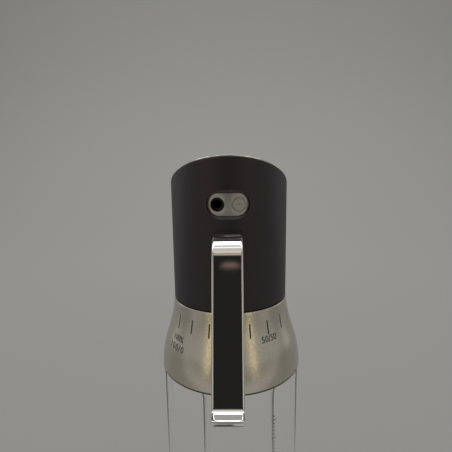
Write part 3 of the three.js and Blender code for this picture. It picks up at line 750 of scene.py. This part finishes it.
def head_surface():
    """Rows from the bottom edge up the outside, over the slanted edge and down the inside.

    A row is a circle whose height is a share of the way from the level bottom to the slanted plane above it.
    """
    angle = np.linspace(0, 2 * np.pi, TURN_STEPS, endpoint=False)
    low = SEAM_Z + HEAD_GAP
    rows = []

    def row(radius, share, drop):
        y = radius * np.sin(angle)
        top = slant_height(y)
        z = low + share * (top - low) - drop
        rows.append(np.stack([radius * np.cos(angle), y, z], axis=-1))

    def radius_at(share):
        return HEAD_RADIUS + (HEAD_TOP_RADIUS - HEAD_RADIUS) * share

    row(HEAD_INNER, 0, 0)
    row(HEAD_RADIUS - 0.45, 0, 0)
    row(HEAD_RADIUS - 0.12, 0, -0.1)
    row(HEAD_RADIUS, 0, -0.4)
    for share in np.linspace(0.04, 0.98, 24):
        row(radius_at(share), share, 0)
    for turn in np.linspace(0, np.pi / 2, 6):
        row(HEAD_TOP_RADIUS - HEAD_EDGE * (1 - math.cos(turn)), 1.0, HEAD_EDGE * (1 - math.sin(turn)))
    row(HEAD_INNER + 0.1, 1.0, 0.0)
    row(HEAD_INNER, 1.0, 0.1)
    for share in np.linspace(0.95, 0.05, 12):
        row(HEAD_INNER, share, 0)
    return np.array(rows)


head_rows = head_surface()
shell = grid_mesh("head_black", head_rows, True, "matte_black")
print("head rows", len(head_rows), "of", TURN_STEPS, "points")

# %% [markdown]
# In front, the shell has a shallow recess with sloping sides for the vent plate, and below it a slot
# that the strap comes out of. Both are cut from the finished tube, because they interrupt its even
# rows.

# %% Vent recess
VENT_Z = SEAM_Z + 51.6
VENT_PITCH = 9.8
VENT_HOLE = 3.25
RECESS_LENGTH = 21.5
RECESS_HEIGHT = 12.8
VENT_LENGTH = 19.6
VENT_HEIGHT = 10.3
VENT_FACE = HEAD_RADIUS - 1.3
VENT_THICKNESS = 0.8

boolean(shell, pill_body("recess", [(RECESS_LENGTH + 1.2, RECESS_HEIGHT + 1.2, HEAD_RADIUS + 0.6),
                                    (RECESS_LENGTH + 0.4, RECESS_HEIGHT + 0.4, HEAD_RADIUS - 0.3),
                                    (VENT_LENGTH + 0.35, VENT_HEIGHT + 0.35, VENT_FACE - 0.1),
                                    (VENT_LENGTH + 0.35, VENT_HEIGHT + 0.35, VENT_FACE - 4.0)], VENT_Z))
print("vents at", VENT_Z, "mm")

# %% Slot for the strap
STRAP_WIDTH = 12.3
STRAP_THICKNESS = 2.2
STRAP_CORNER = 0.8
STRAP_CORNERS = [(22.6, 24.5), (22.6, 38.5), (52.5, 40.5), (73.6, -19.8), (79.4, -19.8)]
STRAP_ROUNDS = [3.2, 10.2, 3.4]
SLOT_CLEARANCE = 0.04
SLOT_REACHES = (24.0, 32.0)
slope = math.atan2(STRAP_CORNERS[1][1] - STRAP_CORNERS[2][1], STRAP_CORNERS[2][0] - STRAP_CORNERS[1][0])


def slot_body():
    """A short bar of the strap's section plus a clearance, along the line of the arm, through the shell."""
    half_x = STRAP_WIDTH / 2 + SLOT_CLEARANCE
    half_z = STRAP_THICKNESS / 2 + SLOT_CLEARANCE
    section = rounded([(-half_x, -half_z), (half_x, -half_z), (half_x, half_z), (-half_x, half_z)],
                      STRAP_CORNER)
    rings = []
    for reach in SLOT_REACHES:
        z = SEAM_Z + STRAP_CORNERS[1][1] - (reach - STRAP_CORNERS[1][0]) * math.tan(slope)
        rings.append(np.stack([section[:, 0], np.full(len(section), -reach), z + section[:, 1]], axis=-1))
    return capped("slot", np.array(rings), "matte_black")


boolean(shell, slot_body())
place(shell, "head", "head_shell", slot="black_plastic")

# %% [markdown]
# The vent plate is a thin piece of satin steel, curved like the head, with two round holes. One hole is
# open and dark. A pale silicone disc with a slit closes the other. The plate could be a flat sheet bent
# by a modifier. It is cut from a curved sheet instead, so that its outline and its holes stay true from
# the front.


# %% Vent plate and check valve
def arc_plate(name, outer_radius, inner_radius, width, height, finish):
    """A curved sheet between two radii, centred on -Y at the vent's height."""
    steps = 96
    half = math.asin(min(width / 2 / inner_radius, 0.99))
    angle = np.linspace(-np.pi / 2 - half, -np.pi / 2 + half, steps)
    low = VENT_Z - height / 2
    high = VENT_Z + height / 2
    ring_points = []
    for radius, z in ((outer_radius, low), (outer_radius, high), (inner_radius, high), (inner_radius, low)):
        height_row = np.full(steps, z)
        ring_points.append(np.stack([radius * np.cos(angle), radius * np.sin(angle), height_row], axis=-1))
    stack = np.array(ring_points).transpose(1, 0, 2)
    return capped(name, stack, finish)


plate = arc_plate("vent_steel", VENT_FACE, VENT_FACE - VENT_THICKNESS, VENT_LENGTH + 6, VENT_HEIGHT + 6,
                  "satin_steel")
boolean(plate, pill_body("outline", [(VENT_LENGTH, VENT_HEIGHT, 32), (VENT_LENGTH, VENT_HEIGHT, 20)], VENT_Z),
        "INTERSECT")
for side in (-1, 1):
    boolean(plate, round_body("hole", side * VENT_PITCH / 2, VENT_Z, [(VENT_HOLE, 33), (VENT_HOLE, 20)]))
soften(plate, 0.12)
place(plate, "head", "vent_plate", slot="satin_steel")

valve_x = VENT_PITCH / 2
valve_face = math.sqrt(VENT_FACE ** 2 - valve_x ** 2)
valve = round_body("valve_pale", valve_x, VENT_Z, [
    (2.4, valve_face - 0.1), (3.0, valve_face - 0.16), (3.18, valve_face - 0.3), (3.22, valve_face - 0.5),
    (3.22, valve_face - 1.25), (1.3, valve_face - 1.3), (1.3, valve_face - 3.5)], "silicone")
slit = capped("slit", np.array([
    [(valve_x - 1.1, -valve_face + y, VENT_Z - 0.05), (valve_x + 1.1, -valve_face + y, VENT_Z - 0.05),
     (valve_x + 1.1, -valve_face + y, VENT_Z + 0.05), (valve_x - 1.1, -valve_face + y, VENT_Z + 0.05)]
    for y in (-0.5, 0.5)]), "silicone")
boolean(valve, slit)
place(valve, "head", "oil_check_valve", slot="silicone")

# %% [markdown]
# The steel top is a thin disc laid on the slant. A tilted cylinder would be round in its own plane and
# so not fit the tube, whose slanted end is an oval. It is drawn as a profile of distance from the axis
# and height above the slanted plane, so the rim keeps the same bright edge all the way round. The spout
# comes through it.


# %% Top plate
PLATE_THICKNESS = 0.6
PLATE_MARGIN = 0.2
PLATE_GAP = 0.1
PLUG_DEPTH = 2.0
SEAT_GAP = 0.3


def slanted(name, profile, finish):
    """A profile of (radius, height above the slant) carried round the axis.

    Each point is then lifted by the height of the slanted plane at its own depth, which shears the disc.
    """
    angle = np.linspace(0, 2 * np.pi, TURN_STEPS, endpoint=False)
    radius = profile[:, 0][:, None]
    y = radius * np.sin(angle)
    points = np.stack([radius * np.cos(angle), y, slant_height(y) + profile[:, 1][:, None]], axis=-1)
    return grid_mesh(name, points, False, finish)


rim = HEAD_TOP_RADIUS - PLATE_MARGIN
plug = HEAD_INNER - SEAT_GAP
top_corners = [(0, -PLUG_DEPTH), (plug, -PLUG_DEPTH), (plug, PLATE_GAP), (rim, PLATE_GAP),
               (rim, PLATE_GAP + PLATE_THICKNESS), (0, PLATE_GAP + PLATE_THICKNESS)]
top = slanted("top_steel", rounded(top_corners, [0, 0.3, 0, 0.25, 0.4, 0], 6, False), "polished_steel")

# %% Opening for the spout
SPOUT_LENGTH = 18.0
SPOUT_WIDTH = 9.5
SPOUT_RISE = 5.0
SPOUT_REACH = 17.0
SPOUT_PITCH = 4.2
SPOUT_BORE = 2.2

tilt = Matrix.Rotation(-math.atan(SLANT), 3, "X")
spout_place = np.array([0, SPOUT_REACH, slant_height(SPOUT_REACH)])


def on_slant(points):
    """Points given from the spout's foot, square to the slanted plane, in the object's own frame."""
    return points @ np.array(tilt).T + spout_place


def spout_body(name, levels):
    """A pill standing on the slant; levels are (length, width, height)."""
    rings = []
    for length, width, high in levels:
        outline = pill(length, width)
        rings.append(on_slant(np.stack([outline[:, 0], outline[:, 1], np.full(len(outline), high)], axis=-1)))
    return capped(name, np.array(rings), "matte_black")


OPENING = (SPOUT_LENGTH + 0.6, SPOUT_WIDTH + 0.6)
boolean(top, spout_body("opening", [(*OPENING, -10), (*OPENING, 10)]))
soften(top, 0.15, 50)
place(top, "head", "top_plate", slot="polished_steel")

# %% [markdown]
# The spout is a pill of black plastic with a bore for each liquid. It stands square to the slanted top
# and has a wider foot below it that holds it from inside. The bores open out at the lip, so that the
# last drop runs back.

# %% Spout
foot = -(PLUG_DEPTH + SEAT_GAP) * math.cos(math.atan(SLANT))
spout = spout_body("spout_black", [
    (SPOUT_LENGTH, SPOUT_WIDTH, foot - 4), (SPOUT_LENGTH, SPOUT_WIDTH, foot - 1.6),
    (SPOUT_LENGTH + 3, SPOUT_WIDTH + 3, foot - 1.59), (SPOUT_LENGTH + 3, SPOUT_WIDTH + 3, foot),
    (SPOUT_LENGTH, SPOUT_WIDTH, foot + 0.01), (SPOUT_LENGTH, SPOUT_WIDTH, SPOUT_RISE - 0.8),
    (SPOUT_LENGTH - 0.5, SPOUT_WIDTH - 0.5, SPOUT_RISE - 0.2),
    (SPOUT_LENGTH - 1.6, SPOUT_WIDTH - 1.6, SPOUT_RISE)])
BORE_STEPS = 48
bore_levels = [(2.7, foot - 8), (2.7, foot - 1), (SPOUT_BORE, foot - 0.9),
               (SPOUT_BORE, SPOUT_RISE - 0.5), (SPOUT_BORE + 0.9, SPOUT_RISE + 0.4)]


def bore_body(side):
    """A stack of circles square to the slant, to one side of the spout's middle, wider at both ends."""
    turn = np.linspace(0, 2 * np.pi, BORE_STEPS, endpoint=False)
    circles = []
    for radius, high in bore_levels:
        across = side * SPOUT_PITCH + radius * np.cos(turn)
        level = np.full(BORE_STEPS, high)
        circles.append(on_slant(np.stack([across, radius * np.sin(turn), level], axis=-1)))
    return capped("bore", np.array(circles), "matte_black")


for side in (-1, 1):
    boolean(spout, bore_body(side))
place(spout, "head", "pour_spout", slot="black_plastic")

# %% [markdown]
# The handle is one flat bar, bent three times. It could be a bevelled curve, but sweeping a rounded
# rectangle along the bent centre line keeps the flat face flat and the long edges even, which is what
# its two bright edge lines show.


# %% Strap handle
TAB_END = 0.25
LIP_END = 0.7
END_SHARES = (0.35, 0.6, 0.8, 0.92, 1.0)


def end_sections(section, centre, outward, size):
    """Sections that shrink towards an end along a quarter circle of the size.

    At a share k of the way out, each point has moved in by the size times one minus the root of one minus k
    squared. The small factor on k keeps the last section from closing to a line.
    """
    span = section - centre
    length = np.linalg.norm(span, axis=1)[:, None]
    sections = []
    for k in END_SHARES:
        inset = size * (1 - math.sqrt(1 - k * k * 0.98))
        sections.append(centre + span * (1 - inset / length) + outward * (size * k - size))
    return sections


def sweep_strap():
    """Carries the rounded section along the centre line; each station turns to stay square to the path."""
    path = rounded(STRAP_CORNERS, [0] + STRAP_ROUNDS + [0], 14, False)
    lengths = np.linalg.norm(np.diff(path, axis=0), axis=1)
    path = path[np.concatenate([[True], lengths > 1e-4])]
    ahead = np.vstack([path[1:], path[-1:] * 2 - path[-2:-1]])
    behind = np.vstack([path[:1] * 2 - path[1:2], path[:-1]])
    along = ahead - behind
    along /= np.linalg.norm(along, axis=1)[:, None]
    normal = np.stack([-along[:, 1], along[:, 0]], axis=-1)
    half_x = STRAP_WIDTH / 2
    half_t = STRAP_THICKNESS / 2
    section = rounded([(-half_x, -half_t), (half_x, -half_t), (half_x, half_t), (-half_x, half_t)],
                      STRAP_CORNER, 8)
    reach = path[:, :1] + section[:, 1] * normal[:, :1]
    height = path[:, 1:] + section[:, 1] * normal[:, 1:]
    across = np.broadcast_to(section[:, 0], reach.shape)
    stations = np.stack([across, -reach, SEAM_Z + height], axis=-1)
    zero = np.zeros(len(path))
    centres = np.stack([zero, -path[:, 0], SEAM_Z + path[:, 1]], axis=-1)
    forward = np.stack([zero, -along[:, 0], along[:, 1]], axis=-1)
    tab = end_sections(stations[0], centres[0], -forward[0], TAB_END)
    lip = end_sections(stations[-1], centres[-1], forward[-1], LIP_END)
    stations[0] += forward[0] * TAB_END
    stations[-1] -= forward[-1] * LIP_END
    return np.concatenate([tab[::-1], stations, lip])


handle = capped("strap_steel", sweep_strap(), "polished_steel")
place(handle, "head", "handle", slot="polished_steel")

# %% [markdown]
# The solids that stay are inside the head and the dial: valve, hub, tubes, seals and screws. Only a
# glimpse of them shows through the glass and in the pulled-out pose, so finer copies would add nothing.
# They keep their shape and get the finish of their slot, set on the object so that the solid's own mesh
# isn't changed.

# %% Finishes of the remaining solids
SLOT_FINISH = {
    "glass": "clear_glass", "clear_plastic": "clear_tube", "black_plastic": "matte_black",
    "satin_steel": "satin_steel", "polished_steel": "polished_steel", "silicone": "silicone",
    "white_plastic": "white_plastic",
}
for part in frame["record"]["subparts"]:
    node = frame["nodes"][part["node"]]
    if not node.material_slots:
        node.data.materials.append(None)
    for material_slot in node.material_slots:
        material_slot.link = "OBJECT"
        material_slot.material = FINISH[SLOT_FINISH[part["material_slot"]]]
print("solids", len(frame["nodes"]))

# %% [markdown]
# The photograph was taken close, from a little above. Its camera could be guessed by eye, but the
# dial's two rims are circles whose sizes are known, and fitting them gives the lens, the tilt, the roll
# and the distance.

# %% Camera
LENS = 29.38
CAMERA_BACK = 194.67
CAMERA_UP = 70.44
PITCH = 9.80
ROLL = -0.706
ORBIT = 1.0
SHIFT = -0.0075
camera_data = bpy.data.cameras.new("camera")
camera_data.lens = LENS
camera_data.sensor_width = 36.0
camera_data.shift_x = SHIFT
camera_data.clip_start = 0.01
camera = bpy.data.objects.new("camera", camera_data)
bpy.context.scene.collection.objects.link(camera)
orbit = Matrix.Rotation(math.radians(ORBIT), 4, "Z")
where = Matrix.Translation((0, -CAMERA_BACK * MM, (SEAM_Z + CAMERA_UP) * MM))
nod = Matrix.Rotation(math.radians(90 - PITCH), 4, "X")
roll = Matrix.Rotation(math.radians(ROLL), 4, "Z")
camera.matrix_world = orbit @ where @ nod @ roll
bpy.context.scene.camera = camera
print("camera at", [round(value, 4) for value in camera.matrix_world.translation])

# %% [markdown]
# The floor runs up into a backdrop in one sweep, as in a photo studio, so that no horizon shows. Lit
# paper alone would mirror every change of the lamps. So nine tenths of what the camera, the steel and
# the glass see of it is an even glow in the photograph's grey, and one tenth still takes the object's
# shadow.

# %% Floor and backdrop
FLOOR_HALF = 1800.0
sweep_path = rounded([(-1500, 0), (900, 0), (900, 1600)], [0, 500, 0], 24, False)
floor_count = len(sweep_path)
left_edge = np.column_stack([np.full(floor_count, -FLOOR_HALF), sweep_path])
right_edge = np.column_stack([np.full(floor_count, FLOOR_HALF), sweep_path])
floor_points = np.stack([left_edge, right_edge], axis=1) * MM
floor_mesh = bpy.data.meshes.new("floor")
floor_mesh.from_pydata(floor_points.reshape(-1, 3).tolist(), [],
                       [(2 * i, 2 * i + 1, 2 * i + 3, 2 * i + 2) for i in range(floor_count - 1)])
floor_mesh.polygons.foreach_set("use_smooth", np.ones(floor_count - 1, dtype=bool))
floor = bpy.data.objects.new("floor", floor_mesh)
bpy.context.scene.collection.objects.link(floor)
print("backdrop rows", floor_count)

# %% [markdown]
# The glow falls off a little towards the viewer, up the wall and to the sides, as the photograph's
# does. For reflections alone, a strip in front of the object is brighter, which lights the dial from
# below, and a small patch in it is dark, which the end of the strap mirrors as painted shade, because
# the end of the strap is dark in the photograph.

# %% Paper of the backdrop
backdrop = Material("backdrop", (0.36, 0.355, 0.35), 0.9)
path_node = backdrop.tree.nodes.new("ShaderNodeLightPath")
seen = Wire(backdrop.tree, path_node.outputs["Is Camera Ray"])
for kind in ("Is Glossy Ray", "Is Transmission Ray", "Transmission Depth"):
    seen = backdrop.wire.math("MAXIMUM", seen, Wire(backdrop.tree, path_node.outputs[kind]))
seen = backdrop.wire.math("MINIMUM", seen, 1.0)
near = 1.0 - (backdrop.y + backdrop.z * 2.0).step(-100.0, 600.0)
high = backdrop.z.step(150.0, 800.0)
side = backdrop.x / 1000.0
mirrored = Wire(backdrop.tree, path_node.outputs["Is Glossy Ray"])
in_front = backdrop.y.inside(-330.0, -150.0, 40.0) * mirrored
# Painted shade: a dark patch seen only in reflections, which darkens the underside of the strap's end.
painted_lip_shade = backdrop.y.inside(-310.0, -110.0, 12.0) * backdrop.x.inside(-30.0, 30.0, 6.0) * mirrored
falloff = backdrop.wire.math("MINIMUM", 0.3 * side * side, 0.16)
tone = 1.0 - 0.14 * near - 0.2 * high - falloff + 0.8 * in_front
tone = tone * (1.0 - 0.85 * painted_lip_shade)
glow = backdrop.wire.node("ShaderNodeEmission", {"Color": (0.318, 0.314, 0.295, 1), "Strength": tone})
blend_shader = backdrop.wire.node("ShaderNodeMixShader", {
    0: seen * 0.9, 1: Wire(backdrop.tree, backdrop.shader.outputs[0]), 2: glow})
backdrop.wire.join(blend_shader, backdrop.tree.nodes["Material Output"].inputs["Surface"])
floor_mesh.materials.append(backdrop.data)

# %% [markdown]
# Most light comes from three soft lamps above, and the strap's bend and lip mirror them as white bands.
# Two lamps at the sides, a little behind, light the edges of the head, and one high on the left draws
# the light line on its top edge. The warm lamps are small: two tall ones in front make the golden
# stripes beside the handle, two low bars the cream line below the bend, and two oval ones the warm spot
# on the strap. One big lamp would be simpler, but polished steel shows each lamp as a shape of its own.


# %% Light
def area_light(name, place_mm, target_mm, size_mm, power, color=(1, 1, 1), shape="RECTANGLE"):
    """A flat lamp at a place, pointing at a target."""
    data = bpy.data.lights.new(name, "AREA")
    data.shape = shape
    data.size = size_mm[0] * MM
    data.size_y = size_mm[1] * MM
    data.energy = power
    data.color = color
    lamp = bpy.data.objects.new(name, data)
    bpy.context.scene.collection.objects.link(lamp)
    start = Vector(place_mm) * MM
    way = Vector(target_mm) * MM - start
    lamp.matrix_world = Matrix.Translation(start) @ way.to_track_quat("-Z", "Y").to_matrix().to_4x4()
    return lamp


area_light("top", (0, 7, 850), (0, 7, 150), (1600, 212), 4.2)
area_light("top_wide", (0, -192, 900), (0, -192, 150), (1700, 609), 2.2)
area_light("top_lip", (0, -262, 890), (0, -262, 150), (400, 90), 0.085)
area_light("high_left", (-620, -60, 760), (0, 0, 200), (420, 300), 0.65)
area_light("left", (-800, 320, 300), (0, 0, 150), (300, 700), 0.35)
area_light("right", (800, 320, 300), (0, 0, 150), (300, 700), 0.3)
area_light("warm_left", (-370, -520, 200), (0, 0, 150), (36, 420), 0.11, (1.0, 0.78, 0.36))
area_light("warm_right", (370, -520, 200), (0, 0, 150), (36, 420), 0.11, (1.0, 0.78, 0.36))
area_light("warm_high", (0, -413, 669), (0, -52, 190), (360, 100), 0.1, (1.0, 0.86, 0.65))
area_light("warm_middle", (0, -491, 599), (0, -52, 190), (360, 80), 0.026, (1.0, 0.77, 0.68))
area_light("warm_spot", (4, -600, 437), (0, -55, 184), (96, 8), 0.0003, (1.0, 0.62, 0.54), "ELLIPSE")
area_light("warm_spot_wide", (4, -603, 437), (0, -55, 184), (140, 16), 0.00045, (1.0, 0.62, 0.54), "ELLIPSE")
print("lamps", len(bpy.data.lights))

# %% [markdown]
# The room round the backdrop is what the steel and the black head mirror. It could be a panorama
# picture, but a few soft steps of direction are enough: an even grey, a brighter band at eye height,
# darker straight above, and almost black in front, where the photographer stood and the strap's flat
# leg is looking.


# %% Room
def room():
    """Grey to the camera and through the glass; for reflections dim in front and brighter round it.

    Each share is a smooth step of one part of the direction: across, ahead or up.
    """
    world = bpy.data.worlds.new("room")
    world.use_nodes = True
    tree = world.node_tree
    wire = Wire(tree, None)
    way = wire.node("ShaderNodeTexCoord", output="Generated")
    split = tree.nodes.new("ShaderNodeSeparateXYZ")
    wire.join(way, split.inputs[0])
    across, ahead, up = (Wire(tree, split.outputs[i]) for i in range(3))
    path = tree.nodes.new("ShaderNodeLightPath")
    through = wire.math("MAXIMUM", Wire(tree, path.outputs["Is Camera Ray"]),
                        Wire(tree, path.outputs["Transmission Depth"]))
    through = wire.math("MINIMUM", through, 1.0)
    front = (1.0 - ahead.step(-0.6, -0.3)) * across.inside(-0.24, 0.24, 0.08)
    level = up.inside(-0.1, 0.62, 0.06)
    low = 1.0 - wire.math("ABSOLUTE", up).step(0.05, 0.3)
    light = 0.31 + 0.16 * low - (0.289 + 0.16 * low) * front * level - 0.24 * up.step(0.68, 0.8)
    strength = light * (1.0 - through) + 0.3 * through
    background = tree.nodes["Background"]
    background.inputs["Color"].default_value = (1.0, 0.99, 0.95, 1)
    wire.join(strength, background.inputs["Strength"])
    bpy.context.scene.world = world


room()
bpy.context.scene.view_settings.view_transform = "Standard"
print("world", bpy.context.scene.world.name)
